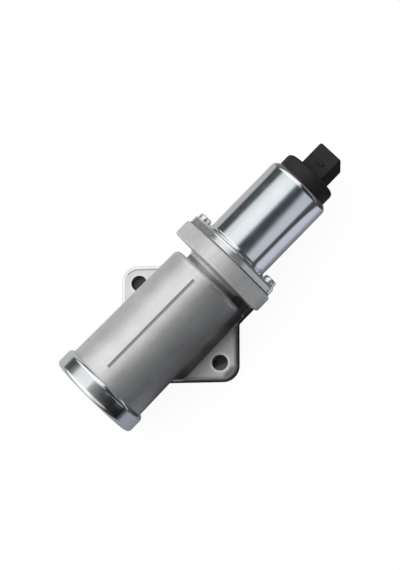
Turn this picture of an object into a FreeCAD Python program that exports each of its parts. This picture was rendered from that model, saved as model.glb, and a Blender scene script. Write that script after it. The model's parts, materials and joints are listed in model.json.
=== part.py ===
import FreeCAD, Part
import math
import os

# Idle air control valve, in millimetres.
# The mounting face lies on z = 0 and the origin is midway between its two bolt holes.
# +X runs along the valve axis from the end cap to the plug socket, +Z points away from
# the mounting face. Stations along the valve axis are x values.

# Mounting plate and its bolt holes
axis_height = 23.0
bolt_pitch = 51.0
bolt_hole_radius = 3.5
mount_plate_thickness = 6.2
ear_point = 36.5
ear_round = 7.2
plate_to_cap_end = 31.0
plate_to_plug_end = 31.0
plate_corner_round = 4.0
plate_edge_round = 1.2
foot_fillet = 1.5

# Cast body: lengths are from the bolt line
body_to_cap_end = 41.15
body_to_shoulder = 22.2
body_radius_at_cap = 19.6
body_radius_at_shoulder = 18.6
shoulder_round = 2.5
flank_inset = 0.1
flank_edge_margin = 0.6
collar_length = 6.68
parting_groove_width = 0.9
parting_groove_depth = 0.6
parting_groove_to_cap = 33.9
parting_groove_to_plug = 17.3

# Neck and cast flange under the solenoid
neck_radius = 13.0
neck_length = 4.3
neck_corner_round = 1.0
neck_flange_fillet = 2.6
flange_thickness = 8.1
flange_ear_radius = 5.2
flange_edge_round = 1.2

# Air passages
lower_chamber_radius = 15.6
upper_chamber_radius = 10.4
web_thickness = 5.0
web_position = 0.0
port_inner_edge = 4.5
port_outer_edge = 19.5
port_width = 16.0
port_corner_round = 3.0
chamber_chamfer = 2.0

# End cap, its seal and the guide plug under it
cap_overhang = 1.8
cap_sheet = 1.2
cap_wall_gap = 0.1
cap_bottom_round = 2.0
cap_lip_lean = 45.0
cap_lip_round = 1.8
cap_lip_gap = 0.25
cap_dish_radius = 12.0
cap_dish_depth = 0.7
cap_seal_wire = 1.5
plug_radius = 16.6
plug_thickness = 4.0
plug_hub_length = 11.0
plug_hub_wall = 0.7
spring_seat_step = 2.0
lower_bush_wall = 1.1
lower_bush_length = 9.0

# Valve seat, poppet and rod
seat_bore_radius = 7.0
seat_ring_wall = 1.8
seat_ring_length = 3.6
seat_lip_height = 0.8
seat_lip_width = 0.9
rod_radius = 2.0
poppet_thickness = 2.4
poppet_overlap = 2.4
poppet_facing_thickness = 1.0
poppet_hub_radius = 3.4
poppet_hub_length = 6.4
clip_thickness = 0.7
clip_radius = 3.5
clip_groove_depth = 0.5
clip_opening = 2.4
valve_travel = 5.5
rod_end_room = 1.2

# Return spring
spring_wire = 1.1
spring_mean_radius = 5.1
spring_turns = 8
spring_cup_sheet = 0.6
spring_cup_depth = 2.6
spring_cup_room = 0.1

# Solenoid plate, gasket and screws
gasket_thickness = 0.4
solenoid_plate_thickness = 3.6
solenoid_plate_rim = 0.15
solenoid_plate_margin = 1.3
solenoid_plate_round = 1.1
screw_radius = 1.75
screw_tip_round = 0.5
screw_head_radius = 3.1
screw_head_height = 2.5
screw_head_round = 1.1
screw_head_gap = 0.45
screw_length = 12.0
screw_slot_width = 0.9
screw_slot_length = 3.9
screw_slot_depth = 1.3

# Solenoid can
can_radius = 15.15
can_sheet = 1.2
can_height = 41.05
can_crimp_lean = 50.0
can_crimp_round = 2.4
can_lip_round = 0.4
can_foot_width = 1.0
can_foot_edge = 0.7
can_foot_height = 1.3
can_foot_fillet = 1.0

# Inside the can
pole_flange_thickness = 2.2
pole_spigot_length = 7.5
pole_bush_wall = 1.0
pole_bush_length = 9.0
armature_radius = 6.6
armature_length = 15.0
armature_end_room = 0.6
armature_vent_radius = 0.8
armature_vent_place = 4.6
sleeve_wall = 0.7
bobbin_wall = 1.1
bobbin_cheek = 1.3
winding_margin = 0.7
winding_round = 1.0
flux_washer_thickness = 2.5
stop_shim_thickness = 0.4
base_gasket_thickness = 0.6
base_gasket_width = 4.2

# Connector
base_radius = 12.75
base_foot_land = 0.9
base_height = 6.2
base_top_round = 2.2
socket_length = 12.55
socket_width = 12.3
socket_depth = 15.0
socket_offset = -4.15
socket_round = 1.2
socket_rim_round = 1.1
socket_bore_round = 0.6
socket_wall = 1.4
socket_bore_length = 10.2
socket_slope_drop = 2.2
locking_nose_length = 2.6
locking_nose_height = 0.9
locking_nose_crest = 0.85
locking_nose_width = 3.6
locking_nose_place = 6.0
pin_width = 2.8
pin_thickness = 0.8
pin_pitch = 5.0
pin_height_in_socket = 6.6
pin_root_length = 6.0
pin_tip_chamfer = 0.3

# Clearances: a running fit between sliding pieces, a seating fit between fixed ones
running_fit = 0.06
seating_fit = 0.03
closed_gap = 0.1
rod_clearance = 0.5

# Edge breaks, how far a cutting shape runs past the face it opens, how much of an edge its
# roundings may use, and the distance under which two places count as one
fine_break = 0.2
edge_break = 0.3
soft_break = 0.5
past = 1.0
edge_share = 0.98
same_place = 0.001


# A sheet wall of revolution that leans inwards by an angle: its slope, and how far back
# its bend moves for a parallel line or a rounding
def crimp_slope(lean):
    return math.tan(math.radians(lean))


def bend_shift(lean, distance):
    return distance * math.tan(math.radians(lean) / 2)


# Radii of the end cap and of the collar that it is rolled over
cap_radius = body_radius_at_cap + cap_overhang
cap_inner_radius = cap_radius - cap_sheet
cap_lip_radius = body_radius_at_cap + cap_lip_gap
collar_radius = cap_inner_radius - cap_wall_gap

# The solenoid plate and the flange under it reach round the can's foot, with a screw on each
# side just clear of it
can_foot_radius = can_radius + can_foot_width
solenoid_plate_radius = can_foot_radius + solenoid_plate_rim
flange_radius = solenoid_plate_radius + solenoid_plate_margin
solenoid_plate_ear = flange_ear_radius - solenoid_plate_margin
screw_pitch = 2 * (can_foot_radius + screw_head_gap + screw_head_radius)

# Stations along the valve axis, from the end cap to the socket rim
x_collar_end = -(body_to_cap_end + collar_length)
x_collar_top = -body_to_cap_end
x_collar_shoulder = x_collar_top - (collar_radius - body_radius_at_cap) / crimp_slope(cap_lip_lean)
x_cap_face = x_collar_end - cap_sheet
x_cap_bend = (
    x_collar_shoulder
    - cap_wall_gap / crimp_slope(cap_lip_lean)
    + seating_fit / math.sin(math.radians(cap_lip_lean))
    + bend_shift(cap_lip_lean, cap_sheet)
)
x_plug_seat = x_collar_end + plug_thickness
x_spring_seat = x_plug_seat + spring_seat_step
x_plug_hub_end = x_plug_seat + plug_hub_length
x_web_low = web_position - web_thickness / 2
x_web_high = web_position + web_thickness / 2
x_seat_lip = x_web_low - seat_lip_height
x_shoulder = body_to_shoulder
x_flange = x_shoulder + neck_length
x_flange_top = x_flange + flange_thickness
x_plate = x_flange_top + gasket_thickness
x_can_foot = x_plate + solenoid_plate_thickness
x_can_top = x_can_foot + can_height
x_can_bend = x_can_top - (can_radius - base_radius - seating_fit) / crimp_slope(can_crimp_lean)
x_can_bend_inside = x_can_bend - bend_shift(can_crimp_lean, can_sheet)
x_base = x_can_bend_inside - bend_shift(can_crimp_lean, can_crimp_round) - base_foot_land
x_washer_top = x_base - base_gasket_thickness
x_washer = x_washer_top - flux_washer_thickness
x_bobbin = x_can_foot + pole_flange_thickness
x_armature_top = x_base - armature_end_room
x_armature = x_armature_top - armature_length
x_pole_top = x_armature - valve_travel - closed_gap - stop_shim_thickness
x_base_top = x_can_top + base_height
x_socket_rim = x_base_top + socket_length
x_socket_floor = x_socket_rim - socket_bore_length
x_poppet_face = x_seat_lip - closed_gap
x_poppet_back = x_poppet_face - poppet_thickness
x_hub_end = x_poppet_back - (poppet_hub_length - poppet_thickness)
x_spring_top = x_poppet_back - spring_cup_sheet

# Radii that fits and walls give
seat_ring_radius = seat_bore_radius + seat_ring_wall
poppet_radius = seat_bore_radius + poppet_overlap
rod_hole_radius = rod_radius + seating_fit
can_inner_radius = can_radius - can_sheet
sleeve_inner_radius = armature_radius + running_fit
sleeve_radius = sleeve_inner_radius + sleeve_wall
bobbin_core_inner = sleeve_radius + seating_fit
bobbin_core_radius = bobbin_core_inner + bobbin_wall
bobbin_cheek_radius = can_inner_radius - seating_fit
bearing_radius = rod_radius + running_fit
guide_hub_radius = bearing_radius + lower_bush_wall + seating_fit + plug_hub_wall


def axis_point(x, radius=0.0):
    return FreeCAD.Vector(x, 0, axis_height + radius)


# A closed wire through corners (a, b, rounding), each corner rounded by a tangent arc.
# Where an edge is too short for both its roundings, they share it by their sizes.
def rounded_wire(corners, to_space):
    count = len(corners)
    points = [FreeCAD.Vector(a, b, 0) for a, b, r in corners]
    halves = []
    wanted = []
    for i in range(count):
        before = points[i - 1] - points[i]
        after = points[(i + 1) % count] - points[i]
        halves.append(before.getAngle(after) / 2)
        wanted.append(corners[i][2] / math.tan(halves[i]))
    starts = []
    ends = []
    middles = []
    for i in range(count):
        back = wanted[i]
        for j in (i - 1, (i + 1) % count):
            both = wanted[i] + wanted[j]
            if both > 0:
                edge = (points[j] - points[i]).Length * edge_share
                back = min(back, edge * wanted[i] / both)
        radius = back * math.tan(halves[i])
        before = (points[i - 1] - points[i]).normalize()
        after = (points[(i + 1) % count] - points[i]).normalize()
        starts.append(points[i] + before * back)
        ends.append(points[i] + after * back)
        if radius > 0:
            from_corner = radius / math.sin(halves[i]) - radius
            middles.append(points[i] + (before + after).normalize() * from_corner)
        else:
            middles.append(None)
    edges = []
    for i in range(count):
        if middles[i] is not None:
            arc = Part.Arc(to_space(starts[i]), to_space(middles[i]), to_space(ends[i]))
            edges.append(arc.toShape())
        edges.append(Part.makeLine(to_space(ends[i]), to_space(starts[(i + 1) % count])))
    return Part.Wire(edges)


# A solid of revolution about the valve axis from corners (x, radius, rounding).
def turned(corners):
    wire = rounded_wire(corners, lambda p: axis_point(p.x, p.y))
    return Part.Face(wire).revolve(axis_point(0), FreeCAD.Vector(1, 0, 0), 360)


# A solid that stands on a level z from corners (x, y, rounding).
def raised(corners, z_low, z_high):
    wire = rounded_wire(corners, lambda p: FreeCAD.Vector(p.x, p.y, z_low))
    return Part.Face(wire).extrude(FreeCAD.Vector(0, 0, z_high - z_low))


# A solid along the valve axis from corners (y, z above the axis, rounding).
def drawn_along(corners, x_low, x_high):
    wire = rounded_wire(corners, lambda p: FreeCAD.Vector(x_low, p.x, axis_height + p.y))
    return Part.Face(wire).extrude(FreeCAD.Vector(x_high - x_low, 0, 0))


def round_bar(radius, x_low, x_high, y=0.0, z=None):
    height = axis_height if z is None else z
    start = FreeCAD.Vector(x_low, y, height)
    return Part.makeCylinder(radius, x_high - x_low, start, FreeCAD.Vector(1, 0, 0))


def mirrored(corners):
    return corners + [(a, -b, r) for a, b, r in reversed(corners)]


def cleaned(shape):
    return shape.removeSplitter()


# Two-lobed outline of the solenoid joint: a round middle with a screw ear on each side,
# joined by straight tangents.
def lobed_outline(middle_radius, ear_radius, x):
    reach = screw_pitch / 2
    lean = math.asin((middle_radius - ear_radius) / reach)
    edges = []
    touch = []
    for side in (1, -1):
        for rise in (side, -side):
            direction = FreeCAD.Vector(0, side * math.sin(lean), rise * math.cos(lean))
            on_middle = axis_point(x) + direction * middle_radius
            on_ear = axis_point(x) + FreeCAD.Vector(0, side * reach, 0) + direction * ear_radius
            touch.append((on_middle, on_ear))
        ear_tip = axis_point(x) + FreeCAD.Vector(0, side * (reach + ear_radius), 0)
        edges.append(Part.Arc(touch[-2][1], ear_tip, touch[-1][1]).toShape())
    for on_middle, on_ear in touch:
        edges.append(Part.makeLine(on_middle, on_ear))
    edges.append(Part.Arc(touch[0][0], axis_point(x, middle_radius), touch[3][0]).toShape())
    edges.append(Part.Arc(touch[1][0], axis_point(x, -middle_radius), touch[2][0]).toShape())
    return Part.Wire(Part.__sortEdges__(edges))


def lobed_plate(middle_radius, ear_radius, x_low, x_high):
    face = Part.Face(lobed_outline(middle_radius, ear_radius, x_low))
    return face.extrude(FreeCAD.Vector(x_high - x_low, 0, 0))


# The end of a sheet wall of revolution, rolled inwards by an angle down to a lip radius:
# corners from the outside of the wall round to its inside
def rolled_lip(radius, sheet, lean, lip_radius, x_bend, bend_round, lip_round):
    inner = radius - sheet
    x_inside = x_bend - bend_shift(lean, sheet)
    return [
        (x_bend, radius, bend_round),
        (x_bend + (radius - lip_radius) / crimp_slope(lean), lip_radius, lip_round),
        (x_inside + (inner - lip_radius) / crimp_slope(lean), lip_radius, 0),
        (x_inside, inner, 0),
    ]


def screw_places():
    return [-screw_pitch / 2, screw_pitch / 2]


def body_radius_at(x):
    share = (x + body_to_cap_end) / (body_to_shoulder + body_to_cap_end)
    return body_radius_at_cap + share * (body_radius_at_shoulder - body_radius_at_cap)


def plate_corners(inset):
    point = ear_point - inset * math.sqrt(2)
    side = body_radius_at(x_shoulder) - flank_inset - inset
    cap_end = -plate_to_cap_end + inset
    plug_end = plate_to_plug_end - inset
    half = [
        (plug_end, side, plate_corner_round),
        (point - side, side, foot_fillet),
        (0, point, max(ear_round - inset, foot_fillet)),
        (cap_end, point + cap_end, foot_fillet),
    ]
    return mirrored(half)


def mount_plate():
    plate = raised(plate_corners(0), 0, mount_plate_thickness)
    rims = [e for e in plate.Edges if e.BoundBox.ZMin > mount_plate_thickness - same_place]
    return plate.makeFillet(plate_edge_round, rims)


# The upright flanks that carry the round body on the plate
def pedestal_corners():
    point = ear_point - flank_edge_margin * math.sqrt(2)
    narrow = body_radius_at(x_shoulder) - flank_inset
    wide = body_radius_at(narrow - point) - flank_inset
    end = flank_edge_margin - plate_to_cap_end
    half = [
        (x_shoulder, narrow, shoulder_round),
        (wide - point, wide, shoulder_round),
        (end, point + end, shoulder_round),
    ]
    return mirrored(half)


def pedestal():
    return raised(pedestal_corners(), 0, axis_height)


# The pedestal's root fillet, trimmed to the flat top of the plate
def pedestal_root():
    slab_reach = ear_point + plate_to_plug_end
    slab_corners = mirrored([(slab_reach, slab_reach, 0), (-slab_reach, slab_reach, 0)])
    slab = raised(slab_corners, 0, mount_plate_thickness)
    joined = cleaned(slab.fuse(pedestal()))
    root = []
    for edge in joined.Edges:
        box = edge.BoundBox
        level = abs(box.ZMin - mount_plate_thickness) + abs(box.ZMax - mount_plate_thickness)
        if level < same_place and max(box.XLength, box.YLength) < 2 * slab_reach - past:
            root.append(edge)
    filleted = joined.makeFillet(foot_fillet, root)
    flat_top = raised(plate_corners(plate_edge_round), 0, mount_plate_thickness + 2 * foot_fillet)
    return filleted.common(flat_top)


# The cast body of revolution, up to a disc that lies inside the lobed flange
def body_barrel():
    disc_radius = neck_radius + neck_flange_fillet + edge_break
    return turned([
        (x_collar_end, 0, 0),
        (x_collar_end, collar_radius, 0),
        (x_collar_shoulder, collar_radius, 0),
        (x_collar_top, body_radius_at_cap, 0),
        (x_shoulder, body_radius_at_shoulder, shoulder_round),
        (x_shoulder, neck_radius, neck_corner_round),
        (x_flange, neck_radius, neck_flange_fillet),
        (x_flange, disc_radius, 0),
        (x_flange_top, disc_radius, 0),
        (x_flange_top, 0, 0),
    ])


def joint_flange():
    flange = lobed_plate(flange_radius, flange_ear_radius, x_flange, x_flange_top)
    rims = [e for e in flange.Edges if e.BoundBox.XLength < same_place]
    return flange.makeFillet(flange_edge_round, rims)


def parting_groove():
    cap_end = -parting_groove_to_cap
    plug_end = parting_groove_to_plug
    half = parting_groove_width / 2
    points = [
        FreeCAD.Vector(cap_end, -half, axis_height + body_radius_at(cap_end) - parting_groove_depth),
        FreeCAD.Vector(plug_end, -half, axis_height + body_radius_at(plug_end) - parting_groove_depth),
        FreeCAD.Vector(plug_end, -half, axis_height + body_radius_at_cap + parting_groove_width),
        FreeCAD.Vector(cap_end, -half, axis_height + body_radius_at_cap + parting_groove_width),
    ]
    face = Part.Face(Part.makePolygon(points + points[:1]))
    return face.extrude(FreeCAD.Vector(0, parting_groove_width, 0))


# The bores are turned from both ends; the seat ring is pressed into the web between them.
def valve_bores():
    lower = turned([
        (x_collar_end - past, 0, 0),
        (x_collar_end - past, plug_radius, 0),
        (x_plug_seat, plug_radius, 0),
        (x_plug_seat, lower_chamber_radius, 0),
        (x_web_low - chamber_chamfer, lower_chamber_radius, 0),
        (x_web_low, lower_chamber_radius - chamber_chamfer, 0),
        (x_web_low, 0, 0),
    ])
    upper = turned([
        (x_web_high, 0, 0),
        (x_web_high, upper_chamber_radius - chamber_chamfer, 0),
        (x_web_high + chamber_chamfer, upper_chamber_radius, 0),
        (x_flange_top + past, upper_chamber_radius, 0),
        (x_flange_top + past, 0, 0),
    ])
    x_ring_top = x_seat_lip + seat_ring_length
    ring_seat = turned([
        (x_web_low - past, 0, 0),
        (x_web_low - past, seat_ring_radius + seating_fit, 0),
        (x_ring_top, seat_ring_radius + seating_fit, 0),
        (x_ring_top, seat_bore_radius, 0),
        (x_web_high + past, seat_bore_radius, 0),
        (x_web_high + past, 0, 0),
    ])
    return lower.fuse([upper, ring_seat])


def air_port(side):
    half = port_width / 2
    near = side * port_inner_edge
    far = side * port_outer_edge
    corners = mirrored([(far, half, port_corner_round), (near, half, port_corner_round)])
    return raised(corners, -past, axis_height)


def cap_seal_rebate():
    inner = collar_radius - cap_seal_wire
    return turned([
        (x_collar_end - past, inner, 0),
        (x_collar_end - past, collar_radius + past, 0),
        (x_collar_end + cap_seal_wire, collar_radius + past, 0),
        (x_collar_end + cap_seal_wire, inner, 0),
    ])


def valve_housing():
    body = body_barrel()
    body = body.fuse([joint_flange(), mount_plate(), pedestal(), pedestal_root()])
    cuts = [valve_bores(), air_port(-1), air_port(1), parting_groove(), cap_seal_rebate()]
    for side in (-1, 1):
        hole = Part.makeCylinder(
            bolt_hole_radius,
            axis_height,
            FreeCAD.Vector(0, side * bolt_pitch / 2, -past),
        )
        cuts.append(hole)
    for y in screw_places():
        cuts.append(round_bar(screw_radius + seating_fit, x_flange - past, x_flange_top + past, y))
    return cleaned(body.cut(cuts))


# A pressed cup rolled in over the collar of the body
def end_cap():
    wall_end = rolled_lip(
        cap_radius, cap_sheet, cap_lip_lean, cap_lip_radius, x_cap_bend, cap_lip_round, edge_break
    )
    face = [
        (x_cap_face, 0, 0),
        (x_cap_face, cap_radius, cap_bottom_round),
    ]
    floor = [
        (x_collar_end, cap_inner_radius, 0),
        (x_collar_end, 0, 0),
    ]
    dish = turned([
        (x_cap_face - past, 0, 0),
        (x_cap_face - past, cap_dish_radius, 0),
        (x_cap_face + cap_dish_depth, cap_dish_radius - cap_dish_depth, soft_break),
        (x_cap_face + cap_dish_depth, 0, 0),
    ])
    return turned(face + wall_end + floor).cut(dish)


def end_cap_seal():
    wire = cap_seal_wire / 2 - seating_fit
    centre = collar_radius - cap_seal_wire / 2
    x = x_collar_end + cap_seal_wire / 2
    return Part.makeTorus(centre, wire, axis_point(x), FreeCAD.Vector(1, 0, 0))


# The plug closes the lower bore, carries the lower bush and seats the spring
def guide_plug():
    bush_seat = bearing_radius + lower_bush_wall + seating_fit
    x_bush = x_plug_hub_end - lower_bush_length
    step_radius = spring_mean_radius + spring_wire
    outside = turned([
        (x_collar_end, 0, 0),
        (x_collar_end, plug_radius - seating_fit, edge_break),
        (x_plug_seat, plug_radius - seating_fit, 0),
        (x_plug_seat, step_radius, 0),
        (x_spring_seat, step_radius, soft_break),
        (x_spring_seat, guide_hub_radius, 0),
        (x_plug_hub_end, guide_hub_radius, edge_break),
        (x_plug_hub_end, 0, 0),
    ])
    bore = turned([
        (x_collar_end - past, 0, 0),
        (x_collar_end - past, rod_radius + rod_clearance, 0),
        (x_bush, rod_radius + rod_clearance, 0),
        (x_bush, bush_seat, 0),
        (x_plug_hub_end + past, bush_seat, 0),
        (x_plug_hub_end + past, 0, 0),
    ])
    return outside.cut(bore)


def bush(x_low, x_high, wall):
    outer = bearing_radius + wall
    return turned([
        (x_low, bearing_radius, fine_break),
        (x_low, outer, edge_break),
        (x_high, outer, edge_break),
        (x_high, bearing_radius, fine_break),
    ])


def lower_bush():
    return bush(x_plug_hub_end - lower_bush_length, x_plug_hub_end, lower_bush_wall)


def seat_ring():
    x_top = x_seat_lip + seat_ring_length
    return turned([
        (x_seat_lip, seat_bore_radius, edge_break),
        (x_seat_lip, seat_bore_radius + seat_lip_width, edge_break),
        (x_web_low, seat_bore_radius + seat_lip_width, 0),
        (x_web_low, seat_ring_radius, fine_break),
        (x_top, seat_ring_radius, fine_break),
        (x_top, seat_bore_radius, fine_break),
    ])


def joint_holes(x_low, x_high):
    holes = [round_bar(upper_chamber_radius, x_low - past, x_high + past)]
    for y in screw_places():
        holes.append(round_bar(screw_radius + seating_fit, x_low - past, x_high + past, y))
    return holes


def flange_gasket():
    blank = lobed_plate(solenoid_plate_radius, solenoid_plate_ear, x_flange_top, x_plate)
    return blank.cut(joint_holes(x_flange_top, x_plate))


def solenoid_plate():
    blank = lobed_plate(solenoid_plate_radius, solenoid_plate_ear, x_plate, x_can_foot)
    top = [e for e in blank.Edges if e.BoundBox.XMin > x_can_foot - same_place]
    plate = blank.makeFillet(solenoid_plate_round, top)
    under = [e for e in plate.Edges if e.BoundBox.XMax < x_plate + same_place]
    plate = plate.makeFillet(edge_break, under)
    return plate.cut(joint_holes(x_plate, x_can_foot))


# Pan head screw with a cross recess, along the valve axis
def plate_screw(y):
    x_head_top = x_can_foot + screw_head_height
    x_tip = x_can_foot - screw_length
    head = turned([
        (x_can_foot, 0, 0),
        (x_can_foot, screw_head_radius, fine_break),
        (x_head_top, screw_head_radius, screw_head_round),
        (x_head_top, 0, 0),
    ])
    shank = turned([
        (x_tip, 0, 0),
        (x_tip, screw_radius, screw_tip_round),
        (x_can_foot + past, screw_radius, 0),
        (x_can_foot + past, 0, 0),
    ])
    x_recess = x_head_top - screw_slot_depth
    half_width = screw_slot_width / 2
    half_length = screw_slot_length / 2
    upright = mirrored([(half_length, half_width, fine_break), (-half_length, half_width, fine_break)])
    level = mirrored([(half_width, half_length, fine_break), (-half_width, half_length, fine_break)])
    cross = drawn_along(upright, x_recess, x_head_top + past)
    cross = cross.fuse(drawn_along(level, x_recess, x_head_top + past))
    screw = head.fuse(shank).cut(cross)
    return screw.translated(FreeCAD.Vector(0, y, 0))


def plate_screws():
    return Part.makeCompound([plate_screw(y) for y in screw_places()])


# A deep-drawn cup: its foot flares out on the plate, its rim is rolled in on the connector
def solenoid_can():
    foot = [
        (x_can_foot, can_inner_radius, edge_break),
        (x_can_foot, can_foot_radius, fine_break),
        (x_can_foot + can_foot_edge, can_foot_radius, edge_break),
        (x_can_foot + can_foot_height, can_radius, can_foot_fillet),
    ]
    rim = rolled_lip(
        can_radius, can_sheet, can_crimp_lean, base_radius + seating_fit,
        x_can_bend, can_crimp_round, can_lip_round,
    )
    return turned(foot + rim)


# Iron pole: a spigot centres it in the body's bore, its flange clamps under the coil
def pole_piece():
    spigot = upper_chamber_radius - seating_fit
    bush_seat = bearing_radius + pole_bush_wall + seating_fit
    x_spigot = x_can_foot - pole_spigot_length
    x_bush = x_spigot + pole_bush_length
    core = sleeve_inner_radius - seating_fit
    outside = turned([
        (x_spigot, 0, 0),
        (x_spigot, spigot, soft_break),
        (x_can_foot, spigot, 0),
        (x_can_foot, can_inner_radius - seating_fit, edge_break),
        (x_bobbin, can_inner_radius - seating_fit, 0),
        (x_bobbin, core, 0),
        (x_pole_top, core, edge_break),
        (x_pole_top, 0, 0),
    ])
    bore = turned([
        (x_spigot - past, 0, 0),
        (x_spigot - past, bush_seat, 0),
        (x_bush, bush_seat, 0),
        (x_bush, rod_radius + rod_clearance, 0),
        (x_pole_top + past, rod_radius + rod_clearance, 0),
        (x_pole_top + past, 0, 0),
    ])
    return outside.cut(bore)


def pole_bush():
    x_low = x_can_foot - pole_spigot_length
    return bush(x_low, x_low + pole_bush_length, pole_bush_wall)


def stop_shim():
    core = sleeve_inner_radius - seating_fit
    return turned([
        (x_pole_top, rod_radius + rod_clearance, 0),
        (x_pole_top, core, 0),
        (x_pole_top + stop_shim_thickness, core, 0),
        (x_pole_top + stop_shim_thickness, rod_radius + rod_clearance, 0),
    ])


def guide_sleeve():
    return turned([
        (x_bobbin, sleeve_inner_radius, 0),
        (x_bobbin, sleeve_radius, 0),
        (x_washer_top, sleeve_radius, fine_break),
        (x_washer_top, sleeve_inner_radius, fine_break),
    ])


def coil_bobbin():
    return turned([
        (x_bobbin, bobbin_core_inner, 0),
        (x_bobbin, bobbin_cheek_radius, edge_break),
        (x_bobbin + bobbin_cheek, bobbin_cheek_radius, edge_break),
        (x_bobbin + bobbin_cheek, bobbin_core_radius, edge_break),
        (x_washer - bobbin_cheek, bobbin_core_radius, edge_break),
        (x_washer - bobbin_cheek, bobbin_cheek_radius, edge_break),
        (x_washer, bobbin_cheek_radius, edge_break),
        (x_washer, bobbin_core_inner, 0),
    ])


# The wound wire, as one sleeve with the crowned outside of its last layer
def coil_winding():
    inner = bobbin_core_radius + seating_fit
    outer = bobbin_cheek_radius - winding_margin
    x_low = x_bobbin + bobbin_cheek + seating_fit
    x_high = x_washer - bobbin_cheek - seating_fit
    return turned([
        (x_low, inner, edge_break),
        (x_low, outer, winding_round),
        (x_high, outer, winding_round),
        (x_high, inner, edge_break),
    ])


def flux_washer():
    inner = sleeve_radius + seating_fit
    outer = can_inner_radius - seating_fit
    return turned([
        (x_washer, inner, edge_break),
        (x_washer, outer, fine_break),
        (x_washer_top, outer, fine_break),
        (x_washer_top, inner, 0),
    ])


def base_gasket():
    outer = base_foot_radius() - seating_fit
    return turned([
        (x_washer_top, outer - base_gasket_width, 0),
        (x_washer_top, outer, 0),
        (x_base, outer, 0),
        (x_base, outer - base_gasket_width, 0),
    ])


def base_foot_radius():
    return can_inner_radius - 2 * seating_fit


# The socket outline stands upright: its long side is along Z, its middle below the axis
def socket_prism(inset, corner_round, x_low, x_high):
    half_width = socket_width / 2 - inset
    low = socket_offset - socket_depth / 2 + inset
    high = socket_offset + socket_depth / 2 - inset
    outline = [
        (half_width, low, corner_round),
        (half_width, high, corner_round),
        (-half_width, high, corner_round),
        (-half_width, low, corner_round),
    ]
    return drawn_along(outline, x_low, x_high)


# The nose that holds the harness plug rises on the face away from the mounting side
def locking_nose():
    z_root = axis_height + socket_offset + socket_depth / 2 - socket_wall / 2
    z_crest = axis_height + socket_offset + socket_depth / 2 + locking_nose_height
    x_mid = x_base_top + locking_nose_place
    half = locking_nose_length / 2
    points = [
        FreeCAD.Vector(x_mid - half, -locking_nose_width / 2, z_root),
        FreeCAD.Vector(x_mid - half, -locking_nose_width / 2, z_crest),
        FreeCAD.Vector(x_mid - half + locking_nose_crest, -locking_nose_width / 2, z_crest),
        FreeCAD.Vector(x_mid + half, -locking_nose_width / 2, z_root),
    ]
    face = Part.Face(Part.makePolygon(points + points[:1]))
    return face.extrude(FreeCAD.Vector(0, locking_nose_width, 0))


# The socket rim slopes down towards the mounting side
def rim_slope_cut():
    reach = socket_width
    z_low = axis_height + socket_offset - socket_depth
    z_high = axis_height + socket_offset + socket_depth / 2
    slope = socket_slope_drop / socket_depth
    x_at_low = x_socket_rim - slope * (z_high - z_low)
    points = [
        FreeCAD.Vector(x_at_low, -reach, z_low),
        FreeCAD.Vector(x_socket_rim, -reach, z_high),
        FreeCAD.Vector(x_socket_rim, -reach, z_high + socket_depth),
        FreeCAD.Vector(x_socket_rim + socket_depth, -reach, z_high + socket_depth),
        FreeCAD.Vector(x_socket_rim + socket_depth, -reach, z_low),
    ]
    face = Part.Face(Part.makePolygon(points + points[:1]))
    return face.extrude(FreeCAD.Vector(0, 2 * reach, 0))


def pin_box(z_offset, fit, x_low, x_high):
    half_width = pin_width / 2 + fit
    half_thickness = pin_thickness / 2 + fit
    z_middle = axis_height + socket_offset + z_offset
    corner = FreeCAD.Vector(x_low, -half_thickness, z_middle - half_width)
    return Part.makeBox(x_high - x_low, 2 * half_thickness, 2 * half_width, corner)


def pin_places():
    return [-pin_pitch / 2, pin_pitch / 2]


# The base follows the inside of the can's rolled rim, a seating fit away
def connector_housing():
    foot = base_foot_radius()
    slack = can_inner_radius - foot
    x_bend = x_can_bend_inside - bend_shift(can_crimp_lean, slack)
    x_waist = x_bend + (foot - base_radius) / crimp_slope(can_crimp_lean)
    base = turned([
        (x_base, 0, 0),
        (x_base, foot, 0),
        (x_bend, foot, 0),
        (x_waist, base_radius, 0),
        (x_base_top, base_radius, base_top_round),
        (x_base_top, 0, 0),
    ])
    block = socket_prism(0, socket_round, x_base_top - past, x_socket_rim).cut(rim_slope_cut())
    rims = [e for e in block.Edges if e.BoundBox.XMin > x_base_top]
    block = block.makeFillet(socket_rim_round, rims)
    housing = base.fuse([block, locking_nose()])
    cuts = [socket_prism(socket_wall, socket_bore_round, x_socket_floor, x_socket_rim + past)]
    x_slot = x_socket_floor - pin_root_length - seating_fit
    for z in pin_places():
        cuts.append(pin_box(z, seating_fit, x_slot, x_socket_floor + past))
    return cleaned(housing.cut(cuts))


def terminal_pins():
    x_root = x_socket_floor - pin_root_length
    x_tip = x_socket_floor + pin_height_in_socket
    pins = []
    for z in pin_places():
        pin = pin_box(z, 0, x_root, x_tip)
        tip = [e for e in pin.Edges if e.BoundBox.XMin > x_tip - same_place]
        pins.append(pin.makeChamfer(pin_tip_chamfer, tip))
    return Part.makeCompound(pins)


# Moving pieces: armature, rod, poppet with its facing and clips, spring cup
def armature():
    outside = turned([
        (x_armature, 0, 0),
        (x_armature, armature_radius, soft_break),
        (x_armature_top, armature_radius, soft_break),
        (x_armature_top, 0, 0),
    ])
    x_low = x_armature - past
    x_high = x_armature_top + past
    cuts = [round_bar(rod_hole_radius, x_low, x_high)]
    for side in (-1, 1):
        cuts.append(round_bar(armature_vent_radius, x_low, x_high, side * armature_vent_place))
    return outside.cut(cuts)


def clip_stations():
    return [x_poppet_face + seating_fit, x_hub_end - clip_thickness - seating_fit]


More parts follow.
